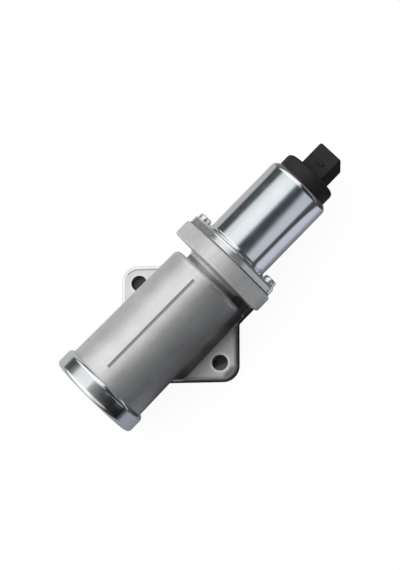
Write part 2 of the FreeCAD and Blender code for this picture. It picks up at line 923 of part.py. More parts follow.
def valve_rod():
    x_low = x_collar_end + valve_travel + rod_end_room
    rod = turned([
        (x_low, 0, 0),
        (x_low, rod_radius, soft_break),
        (x_armature_top, rod_radius, edge_break),
        (x_armature_top, 0, 0),
    ])
    groove_radius = rod_radius - clip_groove_depth
    cuts = []
    for x in clip_stations():
        cuts.append(turned([
            (x - seating_fit, groove_radius, 0),
            (x - seating_fit, rod_radius + past, 0),
            (x + clip_thickness + seating_fit, rod_radius + past, 0),
            (x + clip_thickness + seating_fit, groove_radius, 0),
        ]))
    return rod.cut(cuts)


def poppet_facing_inner():
    return seat_bore_radius - seat_lip_width


def valve_poppet():
    inner = poppet_facing_inner() - seating_fit
    return turned([
        (x_hub_end, rod_hole_radius, 0),
        (x_hub_end, poppet_hub_radius, edge_break),
        (x_poppet_back, poppet_hub_radius, 0),
        (x_poppet_back, poppet_radius, edge_break),
        (x_poppet_face - poppet_facing_thickness, poppet_radius, 0),
        (x_poppet_face - poppet_facing_thickness, inner, 0),
        (x_poppet_face, inner, fine_break),
        (x_poppet_face, rod_hole_radius, 0),
    ])


def poppet_facing():
    x_back = x_poppet_face - poppet_facing_thickness
    return turned([
        (x_back, poppet_facing_inner(), 0),
        (x_back, poppet_radius, 0),
        (x_poppet_face, poppet_radius, edge_break),
        (x_poppet_face, poppet_facing_inner(), 0),
    ])


def rod_clip(x):
    inner = rod_radius - clip_groove_depth + seating_fit
    ring = turned([
        (x, inner, 0),
        (x, clip_radius, 0),
        (x + clip_thickness, clip_radius, 0),
        (x + clip_thickness, inner, 0),
    ])
    mouth = Part.makeBox(
        clip_thickness + 2 * past,
        clip_opening,
        clip_radius + past,
        axis_point(x - past) - FreeCAD.Vector(0, clip_opening / 2, 0),
    )
    return ring.cut(mouth)


def rod_clips():
    return Part.makeCompound([rod_clip(x) for x in clip_stations()])


def spring_cup():
    inner = poppet_hub_radius + 2 * seating_fit
    wall_inner = spring_mean_radius + spring_wire / 2 + spring_cup_room
    outer = wall_inner + spring_cup_sheet
    x_open = x_spring_top - spring_cup_depth
    return turned([
        (x_open, wall_inner, fine_break),
        (x_open, outer, fine_break),
        (x_poppet_back, outer, soft_break),
        (x_poppet_back, inner, 0),
        (x_spring_top, inner, 0),
        (x_spring_top, wall_inner, 0),
    ])


# Round wire wound open and ground flat on both ends
def return_spring():
    length = x_spring_top - x_spring_seat
    wound = length + spring_wire
    pitch = wound / spring_turns
    coil = Part.makeHelix(pitch, wound, spring_mean_radius)
    section = Part.Wire([Part.makeCircle(
        spring_wire / 2,
        FreeCAD.Vector(spring_mean_radius, 0, 0),
        FreeCAD.Vector(0, 1, 0),
    )])
    spring = Part.Wire(coil.Edges).makePipeShell([section], True, True)
    spring.translate(FreeCAD.Vector(0, 0, -spring_wire / 2))
    ground = Part.makeCylinder(spring_mean_radius + 2 * spring_wire, length)
    spring = spring.common(ground)
    spring.rotate(FreeCAD.Vector(0, 0, 0), FreeCAD.Vector(0, 1, 0), 90)
    spring.translate(axis_point(x_spring_seat))
    return spring


parts = {
    "valve_housing": valve_housing,
    "end_cap": end_cap,
    "end_cap_seal": end_cap_seal,
    "guide_plug": guide_plug,
    "lower_bush": lower_bush,
    "seat_ring": seat_ring,
    "flange_gasket": flange_gasket,
    "solenoid_plate": solenoid_plate,
    "plate_screws": plate_screws,
    "solenoid_can": solenoid_can,
    "pole_piece": pole_piece,
    "pole_bush": pole_bush,
    "stop_shim": stop_shim,
    "guide_sleeve": guide_sleeve,
    "coil_bobbin": coil_bobbin,
    "coil_winding": coil_winding,
    "flux_washer": flux_washer,
    "base_gasket": base_gasket,
    "connector_housing": connector_housing,
    "terminal_pins": terminal_pins,
    "armature": armature,
    "valve_rod": valve_rod,
    "valve_poppet": valve_poppet,
    "poppet_facing": poppet_facing,
    "rod_clips": rod_clips,
    "spring_cup": spring_cup,
    "return_spring": return_spring,
}

os.makedirs("parts", exist_ok=True)
for name, make in parts.items():
    shape = make()
    shape.exportStep("parts/" + name + ".step")
    print(name, "solids", len(shape.Solids), "valid", shape.isValid(), "volume", round(shape.Volume, 1))
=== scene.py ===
import json
import math
import bmesh
import bpy
from mathutils import Matrix, Vector


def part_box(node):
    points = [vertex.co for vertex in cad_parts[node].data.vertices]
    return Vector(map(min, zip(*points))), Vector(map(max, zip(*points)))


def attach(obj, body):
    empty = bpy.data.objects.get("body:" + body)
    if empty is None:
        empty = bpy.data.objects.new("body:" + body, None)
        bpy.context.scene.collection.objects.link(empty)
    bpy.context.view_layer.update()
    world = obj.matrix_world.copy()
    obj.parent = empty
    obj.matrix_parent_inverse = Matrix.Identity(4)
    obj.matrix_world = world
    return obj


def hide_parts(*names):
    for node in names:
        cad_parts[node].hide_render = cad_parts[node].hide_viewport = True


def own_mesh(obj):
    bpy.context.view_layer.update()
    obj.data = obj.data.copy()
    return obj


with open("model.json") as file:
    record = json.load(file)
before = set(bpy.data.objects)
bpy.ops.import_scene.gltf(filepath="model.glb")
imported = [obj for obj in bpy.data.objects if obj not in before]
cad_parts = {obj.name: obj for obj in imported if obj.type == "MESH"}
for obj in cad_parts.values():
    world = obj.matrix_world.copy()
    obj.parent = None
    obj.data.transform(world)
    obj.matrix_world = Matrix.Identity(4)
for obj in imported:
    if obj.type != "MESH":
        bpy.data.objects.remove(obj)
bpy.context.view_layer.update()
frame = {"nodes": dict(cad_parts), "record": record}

mm = 0.001
weld = 0.002 * mm  # points closer than this are one
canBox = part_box("solenoid_can")
axisHeight = (canBox[0][2] + canBox[1][2]) / 2
print("frame loaded, valve axis at", round(axisHeight / mm, 2), "mm")


# One socket of a node tree, so that maths on it is written as maths
class Wire:
    def __init__(self, graph, socket):
        self.graph = graph
        self.socket = socket

    def of(self, outputName):
        return Wire(self.graph, self.socket.node.outputs[outputName])

    def maths(self, operation, *others):
        values = dict(enumerate((self,) + others))
        return self.graph.node("ShaderNodeMath", {"operation": operation}, values)

    def __add__(self, other):
        return self.maths("ADD", other)

    def __sub__(self, other):
        return self.maths("SUBTRACT", other)

    def __rsub__(self, other):
        return self.graph.node("ShaderNodeMath", {"operation": "SUBTRACT"}, {0: other, 1: self})

    def __mul__(self, other):
        return self.maths("MULTIPLY", other)

    def __truediv__(self, other):
        return self.maths("DIVIDE", other)

    def __pow__(self, other):
        return self.maths("POWER", other)

    def __abs__(self):
        return self.maths("ABSOLUTE")

    def atLeast(self, other):
        return self.maths("MAXIMUM", other)

    def atMost(self, other):
        return self.maths("MINIMUM", other)

    __radd__ = __add__
    __rmul__ = __mul__


# A node tree being written; every node comes from its method node
class Graph:
    def __init__(self, tree):
        self.tree = tree
        tree.nodes.clear()

    def node(self, kind, settings=None, values=None):
        made = self.tree.nodes.new(kind)
        for name, setting in (settings or {}).items():
            if name == "stops":
                self.fillRamp(made.color_ramp, setting)
            else:
                setattr(made, name, setting)
        for name, value in (values or {}).items():
            if isinstance(value, Wire):
                self.tree.links.new(value.socket, made.inputs[name])
            else:
                made.inputs[name].default_value = value
        shown = [output for output in made.outputs if output.enabled]
        return Wire(self, shown[0]) if shown else None

    def fillRamp(self, ramp, stops):
        while len(ramp.elements) > 1:
            ramp.elements.remove(ramp.elements[0])
        for index, (place, level) in enumerate(stops):
            element = ramp.elements[0] if index == 0 else ramp.elements.new(place)
            element.position = place
            element.color = (level, level, level, 1) if isinstance(level, float) else (*level, 1)

    def noise(self, place, scale, detail=3.0, roughness=0.55):
        values = {"Vector": place, "Scale": scale, "Detail": detail, "Roughness": roughness}
        return self.node("ShaderNodeTexNoise", {}, values)

    def ramp(self, factor, stops):
        return self.node("ShaderNodeValToRGB", {"stops": stops}, {"Fac": factor})

    def mix(self, factor, first, second):
        return self.node("ShaderNodeMix", {}, {0: factor, 2: first, 3: second})

    def mixColour(self, factor, first, second):
        settings = {"data_type": "RGBA"}
        first = first if isinstance(first, Wire) else (*first, 1)
        second = second if isinstance(second, Wire) else (*second, 1)
        return self.node("ShaderNodeMix", settings, {0: factor, 6: first, 7: second})

    def split(self, place):
        return self.node("ShaderNodeSeparateXYZ", {}, {0: place})

    def join(self, x, y, z):
        return self.node("ShaderNodeCombineXYZ", {}, {0: x, 1: y, 2: z})

    def stretch(self, place, scale):
        return self.node("ShaderNodeVectorMath", {"operation": "MULTIPLY"}, {0: place, 1: scale})

    # Goes from one level to another while the value goes from start to end
    def between(self, value, start, end, low=0.0, high=1.0):
        values = {"Value": value, "From Min": start, "From Max": end, "To Min": low, "To Max": high}
        return self.node("ShaderNodeMapRange", {"interpolation_type": "SMOOTHSTEP"}, values)

    # Moves, turns or scales a shape
    def changed(self, shape, change, amount):
        return self.node("GeometryNodeTransform", {}, {"Geometry": shape, change: amount})


# A material: what varies goes through colour, roughness, metallic and bump, the rest is constant
def finish(name, paint, constants=None):
    material = bpy.data.materials.new(name)
    material.use_nodes = True
    graph = Graph(material.node_tree)
    place = graph.node("ShaderNodeTexCoord").of("Object")
    looks = paint(graph, place)
    values = dict(constants or {})
    for socket in ("Base Color", "Roughness", "Metallic"):
        if socket in looks:
            values[socket] = looks[socket]
    depth, height = looks["Height"]
    bump = {"Strength": 1.0, "Distance": depth, "Height": height}
    values["Normal"] = graph.node("ShaderNodeBump", {}, bump)
    shader = graph.node("ShaderNodeBsdfPrincipled", {}, values)
    graph.node("ShaderNodeOutputMaterial", {}, {"Surface": shader})
    return material


# Cylinder places round the valve axis: along it, round it and out from it
def roundTheAxis(graph, place):
    split = graph.split(place)
    sideways = split.of("Y")
    upward = split.of("Z") - axisHeight
    turn = sideways.maths("ARCTAN2", upward)
    outward = (sideways * sideways + upward * upward) ** 0.5
    return split.of("X"), turn, outward


# Die casting, grey with painted shade in its corners and a painted highlight on the far ear's rim, bright
# where a cutter has been: cutters leave rings round the bolt holes and arcs on the underside.
# Noises are given by scale, detail and roughness.
casting = {
    "pale": (0.85, 0.85, 0.84), "dull": (0.70, 0.70, 0.695), "cutBright": (0.84, 0.84, 0.83),
    "farRimHighlight": (0.98, 0.98, 0.98), "cutShare": 0.3,
    "cloud": (90.0, 4.0, 0.6), "speck": (1500.0, 2.0, 0.6), "flow": (1.0, 3.0, 0.6),
    "flowStretch": (60.0, 420.0, 420.0), "mottleShares": (0.45, 0.35, 0.2),
    "mottleStops": [(0.36, 0.0), (0.64, 1.0)],
    "pits": (900.0, 1.0), "pitStops": [(0.27, 0.0), (0.36, 1.0)], "bumps": (420.0, 3.0, 0.6),
    "skinShares": (0.5, 0.9, 0.35),
    "roughness": 0.40, "cloudRough": 0.16, "speckRough": 0.06, "cutRoughness": 0.30, "cutSpeckRough": 0.1,
    "grain": 0.03 * mm, "markShare": 0.3, "cutSpeck": 0.1,
    "ringStep": 0.14 * mm, "ringHeight": 3000.0, "arcStep": 0.3 * mm, "arcHeight": 2200.0,
    "arcCentre": 90 * mm, "boltReach": 25.5 * mm, "tipCentre": 26.3 * mm, "seamAside": 0.3 * mm,
    "flangeMetal": 0.5,
}
# How much of the casting's colour is left where shade is painted on it
castPaintedShades = {
    "neckLeft": 0.42, "neckRight": 0.56, "neckCorner": 0.4, "flank": 0.7, "belly": 0.42, "nearSide": 0.8,
    "plateSide": 0.32, "seam": 0.45, "flange": 0.94, "ear": 0.80, "earPlugEnd": 0.45, "earCapEnd": 0.5,
    "earEdge": 0.5, "earTip": 0.36, "earTipRim": 0.8, "farEarLine": 0.62,
}
# Where the painted shade, the painted highlight and the cut faces are, in mm: each fade goes from
# its start to where it is full
castFades = {
    "neckLow": (22.4, 22.7), "neckHigh": (25.0, 24.0), "cornerLow": (21.4, 22.2), "cornerHigh": (26.5, 26.2),
    "cornerDown": (14, 11), "neckAcross": (8, -4), "neckNear": (-9, -14),
    "flankDown": (18, 15), "flankUp": (5.9, 6.1), "flankOut": (15.5, 17.0), "flankIn": (22.5, 18.0),
    "shoulder": (22.2, 21.6), "capCollar": (-39.9, -39.5), "overFoot": (6.6, 7.6), "besideEar": (36.6, 37.6),
    "besidePlate": (-31.1, -31.6), "belly": (28.5, 17), "nearSide": (0.0, -9),
    "overEdge": (4.6, 5.6), "underEdge": (5.6, 4.6), "awayFromPorts": (20, 24), "overUnderside": (0.02, 0.08),
    "plateTop": (7.0, 6.4), "nearEar": (-18, -20), "farEar": (18, 20), "earToPlug": (5, 24),
    "earToCap": (-6, -26), "earEdge": (5.0, 6.4), "earTip": (3.4, 5.0), "earTipRim": (5.4, 6.8),
    "tipRound": (0.0, 2.5),
    "lineOut": (4.9, 5.4), "lineIn": (6.1, 5.7), "lineStart": (-2.5, 0.5), "farRimHighlight": (5.8, 6.2),
    "seamWidth": (0.85, 0.35), "seamCapEnd": (-34.3, -33.7), "seamPlugEnd": (17.6, 17.1), "seamUp": (39, 40),
    "flangeFace": (26.2, 26.6), "overPlate": (6.4, 7.0),
    "spot": (4.7, 4.55), "spotUp": (6.1, 6.18), "underside": (0.08, 0.02),
}


# Goes from one level to another over one of those distances
def fade(value, name, low=0.0, high=1.0):
    start, end = castFades[name]
    return value.graph.between(value, start * mm, end * mm, low, high)


# The full colour where a mask is 0, and a part of it where the mask is 1
def shaded(mask, level):
    return mask.graph.between(mask, 0.0, 1.0, 1.0, level)


# Painted shade round the neck and in the corners beside it, darkest on the near side
def neckPaintedShade(along, across, height):
    inNeck = fade(along, "neckLow") * fade(along, "neckHigh")
    inCorner = fade(along, "cornerLow") * fade(along, "cornerHigh") * fade(height, "cornerDown")
    deep = inNeck.atLeast(inCorner) * fade(height, "overEdge")
    level = fade(across, "neckAcross", castPaintedShades["neckLeft"], castPaintedShades["neckRight"])
    return shaded(deep, level * fade(across, "neckNear", 1.0, castPaintedShades["neckCorner"]))


# Painted shade: the body gets darker downwards and on its near side, and so do the flanks of its foot
def bodyPaintedShade(along, across, aside, height):
    flank = fade(height, "flankDown") * fade(height, "flankUp")
    flank = flank * fade(aside, "flankOut") * fade(aside, "flankIn")
    besidePlate = fade(aside - along, "besideEar").atLeast(fade(along, "besidePlate"))
    onBody = fade(along, "shoulder") * fade(along, "capCollar")
    onBody = onBody * fade(height, "overFoot").atLeast(besidePlate)
    paintedShade = shaded(flank, castPaintedShades["flank"]) * shaded(onBody * fade(height, "belly"), castPaintedShades["belly"])
    return paintedShade * shaded(onBody * fade(across, "nearSide"), castPaintedShades["nearSide"])


# The mounting plate's painted shade: dark sides, a near ear that darkens towards its ends and its edge,
# and a far ear with a dark line inside its rim. Returns the painted shade and the mask of the far ear's
# rim, which is painted pale as a highlight.
def platePaintedShade(along, across, aside, height):
    ends = abs(along)
    sides = fade(height, "underEdge") * fade(aside + ends, "awayFromPorts") * fade(height, "overUnderside")
    onPlate = fade(height, "plateTop") * fade(height, "overEdge")
    nearEar = fade(across, "nearEar") * onPlate
    farEar = fade(across, "farEar") * onPlate
    # Distances from the middle of the ear's round tip, across its straight edges and round its tip
    beyondTip = aside - casting["tipCentre"]
    acrossEdge = (beyondTip + ends) * math.sqrt(0.5)
    roundTip = ((beyondTip - ends) * math.sqrt(0.5)).atLeast(0.0)
    fromTip = (acrossEdge * acrossEdge + roundTip * roundTip) ** 0.5
    toPlug = fade(along, "earToPlug", castPaintedShades["ear"], castPaintedShades["earPlugEnd"])
    toCap = fade(along, "earToCap", castPaintedShades["ear"], castPaintedShades["earCapEnd"])
    edge = fade(fromTip, "earEdge", 1.0, castPaintedShades["earEdge"])
    tip = fade(fromTip, "earTip", 1.0, castPaintedShades["earTip"])
    tip = tip.atLeast(fade(fromTip, "earTipRim", 0.0, castPaintedShades["earTipRim"]))
    nearLevel = toPlug.atMost(toCap) * along.graph.mix(fade(roundTip, "tipRound"), edge, tip)
    line = fade(fromTip, "lineOut") * fade(fromTip, "lineIn") * fade(along, "lineStart")
    paintedShade = shaded(sides, castPaintedShades["plateSide"]) * shaded(nearEar, nearLevel)
    paintedShade = paintedShade * shaded(farEar, shaded(line, castPaintedShades["farEarLine"]))
    return paintedShade, farEar * fade(fromTip, "farRimHighlight")


# Painted shade in the parting groove on top
def seamPaintedShade(along, across, height):
    seam = fade(abs(across + casting["seamAside"]), "seamWidth") * fade(height, "seamUp")
    return shaded(seam * fade(along, "seamCapEnd") * fade(along, "seamPlugEnd"), castPaintedShades["seam"])


def castPaint(graph, place):
    split = graph.split(place)
    along, across, height = [split.of(name) for name in "XYZ"]
    aside = abs(across)
    cloud = graph.noise(place, *casting["cloud"])
    speck = graph.noise(place, *casting["speck"])
    flow = graph.noise(graph.stretch(place, casting["flowStretch"]), *casting["flow"])
    cloudShare, flowShare, speckShare = casting["mottleShares"]
    mottle = cloud * cloudShare + flow * flowShare + speck * speckShare
    mottle = graph.ramp(mottle, casting["mottleStops"])
    # Painted shade of neck, body, plate, groove and flange face, and a painted highlight on the far ear's rim
    flange = fade(along, "flangeFace") * fade(height, "overPlate")
    onPlate, farRimHighlight = platePaintedShade(along, across, aside, height)
    paintedShade = neckPaintedShade(along, across, height) * bodyPaintedShade(along, across, aside, height) * onPlate
    paintedShade = paintedShade * seamPaintedShade(along, across, height) * shaded(flange, castPaintedShades["flange"])
    colour = graph.mixColour(mottle, casting["dull"], casting["pale"])
    colour = graph.mixColour(farRimHighlight, colour, casting["farRimHighlight"])
    colour = graph.node("ShaderNodeVectorMath", {"operation": "SCALE"}, {0: colour, "Scale": paintedShade})

    # Cut faces: the spots round the bolt holes and the underside
    fromBolt = ((aside - casting["boltReach"]) ** 2.0 + along * along) ** 0.5
    fromArcs = ((along + casting["arcCentre"]) ** 2.0 + across * across) ** 0.5
    underside = fade(height, "underside")
    cut = (fade(fromBolt, "spot") * fade(height, "spotUp")).atLeast(underside)
    rings = fromBolt.maths("PINGPONG", casting["ringStep"]) * casting["ringHeight"]
    arcs = fromArcs.maths("PINGPONG", casting["arcStep"]) * casting["arcHeight"]
    marks = graph.mix(underside, rings, arcs) * casting["markShare"] + speck * casting["cutSpeck"]

    pits = graph.ramp(graph.noise(place, *casting["pits"]), casting["pitStops"])
    speckShare, bumpShare, pitShare = casting["skinShares"]
    skin = speck * speckShare + graph.noise(place, *casting["bumps"]) * bumpShare + pits * pitShare
    castRough = casting["roughness"] + cloud * casting["cloudRough"] + speck * casting["speckRough"]
    cutRough = casting["cutRoughness"] + speck * casting["cutSpeckRough"]
    return {
        "Base Color": graph.mixColour(cut * casting["cutShare"], colour, casting["cutBright"]),
        "Roughness": graph.mix(cut, castRough, cutRough),
        "Metallic": shaded(flange, casting["flangeMetal"]),
        "Height": (casting["grain"], graph.mix(cut, skin, marks)),
    }


# Bright plating on deep-drawn steel: soft clouds, and fine streaks along the axis
plated = {"bright": (0.86, 0.88, 0.89), "grey": (0.74, 0.76, 0.77), "cloudScale": 70.0, "cloudShare": 0.5,
          "streakStretch": (40.0, 160.0, 60.0), "streak": (1.0, 3.0, 0.65), "streakShare": 0.5,
          "mottleStops": [(0.35, 0.0), (0.65, 1.0)], "roughness": 0.075, "streakRough": 0.06,
          "hazeStops": [(0.5, 0.0), (0.75, 0.06)], "scratch": 0.0012 * mm}


def platedPaint(graph, place):
    cylinder = zip(roundTheAxis(graph, place), plated["streakStretch"])
    drawn = graph.join(*[value * scale for value, scale in cylinder])
    cloud = graph.noise(place, plated["cloudScale"])
    streak = graph.noise(drawn, *plated["streak"])
    mottle = cloud * plated["cloudShare"] + streak * plated["streakShare"]
    mottle = graph.ramp(mottle, plated["mottleStops"])
    haze = graph.ramp(cloud, plated["hazeStops"])
    return {
        "Base Color": graph.mixColour(mottle, plated["grey"], plated["bright"]),
        "Roughness": plated["roughness"] + streak * plated["streakRough"] + haze,
        "Height": (plated["scratch"], streak),
    }


zinc = {"bright": (0.90, 0.91, 0.90), "dull": (0.76, 0.78, 0.78), "cloud": (160.0, 4.0, 0.6),
        "speck": (1800.0, 2.0), "stops": [(0.35, 0.0), (0.65, 1.0)], "roughness": 0.14, "cloudRough": 0.12,
        "grain": 0.008 * mm}


def zincPaint(graph, place):
    cloud = graph.noise(place, *zinc["cloud"])
    speck = graph.noise(place, *zinc["speck"])
    return {
        "Base Color": graph.mixColour(graph.ramp(cloud, zinc["stops"]), zinc["dull"], zinc["bright"]),
        "Roughness": zinc["roughness"] + cloud * zinc["cloudRough"],
        "Height": (zinc["grain"], speck + cloud),
    }


# Turned and drawn steel inside the valve: fine rings round the axis
turnedSteel = {"dark": (0.42, 0.42, 0.42), "light": (0.60, 0.60, 0.59), "cloudScale": 200.0,
               "ringStretch": (9000.0, 1.5, 9000.0), "rings": (1.0, 2.0, 0.6), "roughness": 0.2,
               "ringRough": 0.18, "ringDepth": 0.004 * mm}


def steelPaint(graph, place):
    cylinder = zip(roundTheAxis(graph, place), turnedSteel["ringStretch"])
    cut = graph.noise(graph.join(*[value * scale for value, scale in cylinder]), *turnedSteel["rings"])
    cloud = graph.noise(place, turnedSteel["cloudScale"])
    return {
        "Base Color": graph.mixColour(cloud, turnedSteel["dark"], turnedSteel["light"]),
        "Roughness": turnedSteel["roughness"] + cut * turnedSteel["ringRough"],
        "Height": (turnedSteel["ringDepth"], cut),
    }


# Enamelled wire: the turns lie side by side along the axis
winding = {"dark": (0.36, 0.12, 0.05), "light": (0.58, 0.24, 0.11), "cloudScale": 240.0, "roughness": 0.28,
           "cloudRough": 0.12, "turn": 0.17 * mm, "turnHeight": 6000.0, "turnDepth": 0.1 * mm}


def windingPaint(graph, place):
    cloud = graph.noise(place, winding["cloudScale"])
    turns = graph.split(place).of("X").maths("PINGPONG", winding["turn"])
    return {
        "Base Color": graph.mixColour(cloud, winding["dark"], winding["light"]),
        "Roughness": winding["roughness"] + cloud * winding["cloudRough"],
        "Height": (winding["turnDepth"], turns * winding["turnHeight"]),
    }


gasket = {"dark": (0.10, 0.098, 0.09), "light": (0.26, 0.25, 0.23), "fibreStretch": (300.0, 1500.0, 600.0),
          "fibre": (1.0, 4.0, 0.7), "roughness": 0.75, "fibreRough": 0.15, "grain": 0.03 * mm}


def gasketPaint(graph, place):
    fibre = graph.noise(graph.stretch(place, gasket["fibreStretch"]), *gasket["fibre"])
    return {
        "Base Color": graph.mixColour(fibre, gasket["dark"], gasket["light"]),
        "Roughness": gasket["roughness"] + fibre * gasket["fibreRough"],
        "Height": (gasket["grain"], fibre),
    }


# Black moulding, with the fine sparked skin of its tool
moulding = {"pale": (0.026, 0.0265, 0.028), "deep": (0.013, 0.0133, 0.0145), "cloud": (120.0, 4.0, 0.6),
            "spark": (2600.0, 2.0, 0.7), "roughness": 0.40, "cloudRough": 0.18, "sparkRough": 0.08,
            "cloudBump": 0.6, "grain": 0.02 * mm}


def mouldingPaint(graph, place):
    cloud = graph.noise(place, *moulding["cloud"])
    spark = graph.noise(place, *moulding["spark"])
    return {
        "Base Color": graph.mixColour(cloud, moulding["deep"], moulding["pale"]),
        "Roughness": moulding["roughness"] + cloud * moulding["cloudRough"] + spark * moulding["sparkRough"],
        "Height": (moulding["grain"], spark + cloud * moulding["cloudBump"]),
    }


# Plain finishes with clouds of colour and a fine grain: dark and light colour, scale and detail of
# the clouds, roughness and what a cloud adds to it, depth and scale of the grain
plainLooks = {
    "bronze": ((0.42, 0.27, 0.12), (0.66, 0.46, 0.24), (300.0, 4.0), (0.3, 0.25), (0.01 * mm, 2500.0)),
    "brass": ((0.60, 0.44, 0.17), (0.80, 0.64, 0.32), (260.0, 4.0), (0.16, 0.2), (0.004 * mm, 1600.0)),
    "rubber": ((0.018, 0.018, 0.018), (0.04, 0.04, 0.04), (220.0, 3.0), (0.55, 0.2), (0.01 * mm, 1400.0)),
    "bobbin": ((0.52, 0.48, 0.38), (0.62, 0.58, 0.47), (140.0, 3.0), (0.4, 0.15), (0.01 * mm, 1800.0)),
}


def plainPaint(kind):
    dark, light, clouds, (roughness, cloudRough), (depth, grainScale) = plainLooks[kind]

    def paint(graph, place):
        cloud = graph.noise(place, *clouds)
        return {
            "Base Color": graph.mixColour(cloud, dark, light),
            "Roughness": roughness + cloud * cloudRough,
            "Height": (depth, graph.noise(place, grainScale)),
        }
    return paint


metal = {"Metallic": 1.0}
finishes = {
    "cast_aluminium": finish("castAluminium", castPaint),
    "turned_aluminium": finish("turnedAluminium", steelPaint, metal),
    "plated_steel": finish("brightPlatedSteel", platedPaint, metal),
    "zinc_steel": finish("zincPlatedSteel", zincPaint, {"Metallic": 0.86}),
    "bare_steel": finish("turnedSteel", steelPaint, metal),
    "spring_steel": finish("springWire", steelPaint, metal),
    "bronze": finish("sinteredBronze", plainPaint("bronze"), metal),
    "brass": finish("drawnBrass", plainPaint("brass"), metal),
    "winding_copper": finish("enamelledWire", windingPaint, {"Metallic": 0.7, "Coat Weight": 0.6}),
    "rubber": finish("sealRubber", plainPaint("rubber")),
    "gasket_fibre": finish("gasketFibre", gasketPaint),
    "black_plastic": finish("blackMoulding", mouldingPaint, {"Specular IOR Level": 0.32}),
    "bobbin_plastic": finish("naturalMoulding", plainPaint("bobbin")),
    "tinned_brass": finish("tinnedBlade", zincPaint, metal),
}
slotOf = {part["node"]: part["material_slot"] for part in frame["record"]["subparts"]}
for nodeName, cadPiece in frame["nodes"].items():
    cadPiece.data.materials.clear()
    cadPiece.data.materials.append(finishes[slotOf[nodeName]])
print("finishes on", len(frame["nodes"]), "solids")


# A finished piece stands for its CAD node, on the valve's body and with the same slot
def standFor(piece, node):
    piece.data.materials.clear()
    piece.data.materials.append(finishes[slotOf[node]])
    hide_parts(node)
    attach(piece, "valve_body")
    return piece


def newPiece(name, mesh):
    piece = bpy.data.objects.new(name, mesh)
    bpy.context.scene.collection.objects.link(piece)
    return piece


# The evaluated mesh of an object, as a plain mesh with the modifiers gone
def plainMesh(maker):
    bpy.context.view_layer.update()
    graph = bpy.context.evaluated_depsgraph_get()
    mesh = bpy.data.meshes.new_from_object(maker.evaluated_get(graph))
    maker.modifiers.clear()
    bpy.data.objects.remove(maker)
    return mesh


def facedOut(mesh, sharpAngle=math.radians(35)):
    shape = bmesh.new()
    shape.from_mesh(mesh)
    bmesh.ops.remove_doubles(shape, verts=shape.verts, dist=weld)
    bmesh.ops.recalc_face_normals(shape, faces=shape.faces)
    shape.to_mesh(mesh)
    shape.free()
    mesh.shade_smooth()
    mesh.set_sharp_from_angle(angle=sharpAngle)
    return mesh


# A tree of Geometry Nodes with named inputs; returns the graph and its inputs as wires
def growTree(name, inputs):
    tree = bpy.data.node_groups.new(name, "GeometryNodeTree")
    tree.interface.new_socket("Geometry", in_out="INPUT", socket_type="NodeSocketGeometry")
    for inputName, kind in inputs:
        tree.interface.new_socket(inputName, in_out="INPUT", socket_type="NodeSocket" + kind)
    tree.interface.new_socket("Geometry", in_out="OUTPUT", socket_type="NodeSocketGeometry")
    graph = Graph(tree)
    entry = graph.node("NodeGroupInput")
    sockets = entry.socket.node.outputs
    return graph, {socket.name: Wire(graph, socket) for socket in sockets if socket.name}


def endTree(graph, shape, material):
    whole = graph.node("GeometryNodeRealizeInstances", {}, {"Geometry": shape})
    dressed = graph.node("GeometryNodeSetMaterial", {}, {"Geometry": whole, "Material": material})
    graph.node("NodeGroupOutput", {}, {"Geometry": dressed})
    return graph.tree


# Runs a tree on an object, with its inputs set by identifier before anything is evaluated
def grow(maker, tree, values):
    modifier = maker.modifiers.new(tree.name, "NODES")
    modifier.node_group = tree
    for item in tree.interface.items_tree:
        if item.in_out == "INPUT" and item.name in values:
            modifier[item.identifier] = values[item.name]
    return plainMesh(maker)


sweepRadius = 20 * mm  # of the circle that a profile is swept along, which only has to be wide enough


# A profile with rounded corners, swept round a line along X
def sweptRound(graph, given):
    line = graph.node("GeometryNodeMeshToCurve", {}, {0: given["Geometry"]})
    rounding = graph.node("GeometryNodeInputNamedAttribute", {"data_type": "FLOAT"}, {"Name": "rounding"})
    profile = graph.node("GeometryNodeFilletCurve", {"mode": "POLY"}, {
        "Curve": line, "Count": given["Round Steps"], "Radius": rounding, "Limit Radius": True})
    ring = graph.node("GeometryNodeCurvePrimitiveCircle", {}, {
        "Resolution": given["Segments"], "Radius": sweepRadius})
    ring = graph.node("GeometryNodeSetCurveNormal", {"mode": "Z_UP"}, {"Curve": ring})
    shell = graph.node("GeometryNodeCurveToMesh", {}, {"Curve": ring, "Profile Curve": profile})
    shell = graph.changed(shell, "Rotation", (0, math.pi / 2, 0))
    return graph.node("GeometryNodeMergeByDistance", {}, {"Geometry": shell, "Distance": weld})


def turnedTree():
    inputs = [("Round Steps", "Int"), ("Segments", "Int"), ("Axis", "Vector"), ("Finish", "Material")]
    graph, given = growTree("turnedShell", inputs)
    shell = graph.changed(sweptRound(graph, given), "Translation", given["Axis"])
    return endTree(graph, shell, given["Finish"])


turnedShell = turnedTree()


# Corners are (x along the axis, radius, rounding) in metres; a profile that starts and ends
# on the axis stays open there
def profileMaker(name, corners):
    mesh = bpy.data.meshes.new(name + "Profile")
    points = [(radius - sweepRadius, -along, 0) for along, radius, rounding in corners]
    edges = [(i, i + 1) for i in range(len(points) - 1)]
    if corners[0][1] > 0:
        edges.append((len(points) - 1, 0))
    mesh.from_pydata(points, edges, [])
    rounding = mesh.attributes.new("rounding", "FLOAT", "POINT")
    rounding.data.foreach_set("value", [corner[2] for corner in corners])
    return newPiece(name + "Maker", mesh)


def turned(name, corners, node, segments=192, roundSteps=10):
    maker = profileMaker(name, corners)
    values = {"Round Steps": roundSteps, "Segments": segments, "Axis": (0, 0, axisHeight),
              "Finish": finishes[slotOf[node]]}
    mesh = facedOut(grow(maker, turnedShell, values))
    return standFor(newPiece(name, mesh), node)


